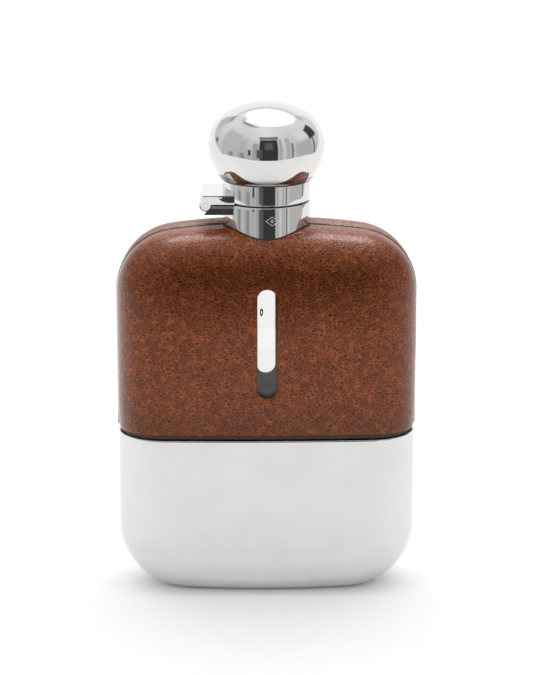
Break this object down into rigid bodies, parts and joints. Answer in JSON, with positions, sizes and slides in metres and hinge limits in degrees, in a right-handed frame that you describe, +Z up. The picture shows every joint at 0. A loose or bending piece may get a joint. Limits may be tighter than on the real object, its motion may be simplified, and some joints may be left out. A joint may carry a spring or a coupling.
{
  "type": "hip flask",
  "caption": "Flat glass hip flask in a brown leather cover with a see-through slot, a silver pull-off cup below and a hinged, twist-lock dome cap.",
  "frame": {"origin": "centre of the cup's flat foot, in the plane it stands on", "axes": "+Z up through the neck, -Y the front face, +Y the back face, -X the side of the cap hinge"},
  "size_m": [0.0842, 0.0322, 0.1395],
  "materials": {
    "glass": "clear, polished",
    "leather": "glossy grained brown hide",
    "leather_seam": "pressed seam",
    "silver": "polished silver plate",
    "silver_cup": "polished silver plate with fine scratches",
    "silver_band": "tarnished silver plate",
    "silver_inner": "dull silver plate",
    "pin_steel": "turned",
    "cement": "plaster",
    "cork": "cork"
  },
  "bodies": {
    "bottle": {"glass_bottle": "glass", "leather_front": "leather", "leather_back": "leather", "seam_welt": "leather_seam", "stop_band": "silver_band", "neck_collar": "silver", "neck_cement": "cement", "neck_sleeve": "silver_inner", "collar_hinge_leaf": "silver", "hinge_pin": "pin_steel"},
    "lid_ring": {"hinge_ring": "silver", "ring_hinge_leaf": "silver"},
    "dome": {"dome_shell": "silver", "dome_floor": "silver_inner", "bayonet_tube": "silver_inner", "bayonet_lugs": "silver_inner", "dome_retainer": "silver_inner", "cork_disc": "cork"},
    "cup": {"cup_body": "silver_cup", "cup_base_plate": "silver_cup"}
  },
  "joints": [
    {"name": "cap_hinge", "type": "hinge", "parent": "bottle", "child": "lid_ring", "pos_m": [-0.0169, 0, 0.112], "axis": [0, -1, 0], "range_deg": [0, 110]},
    {"name": "dome_twist", "type": "hinge", "parent": "lid_ring", "child": "dome", "pos_m": [0, 0, 0.115], "axis": [0, 0, -1], "range_deg": [0, 90]},
    {"name": "cup_slide", "type": "slide", "parent": "bottle", "child": "cup", "axis": [0, 0, -1], "range_m": [0, 0.055]}
  ]
}
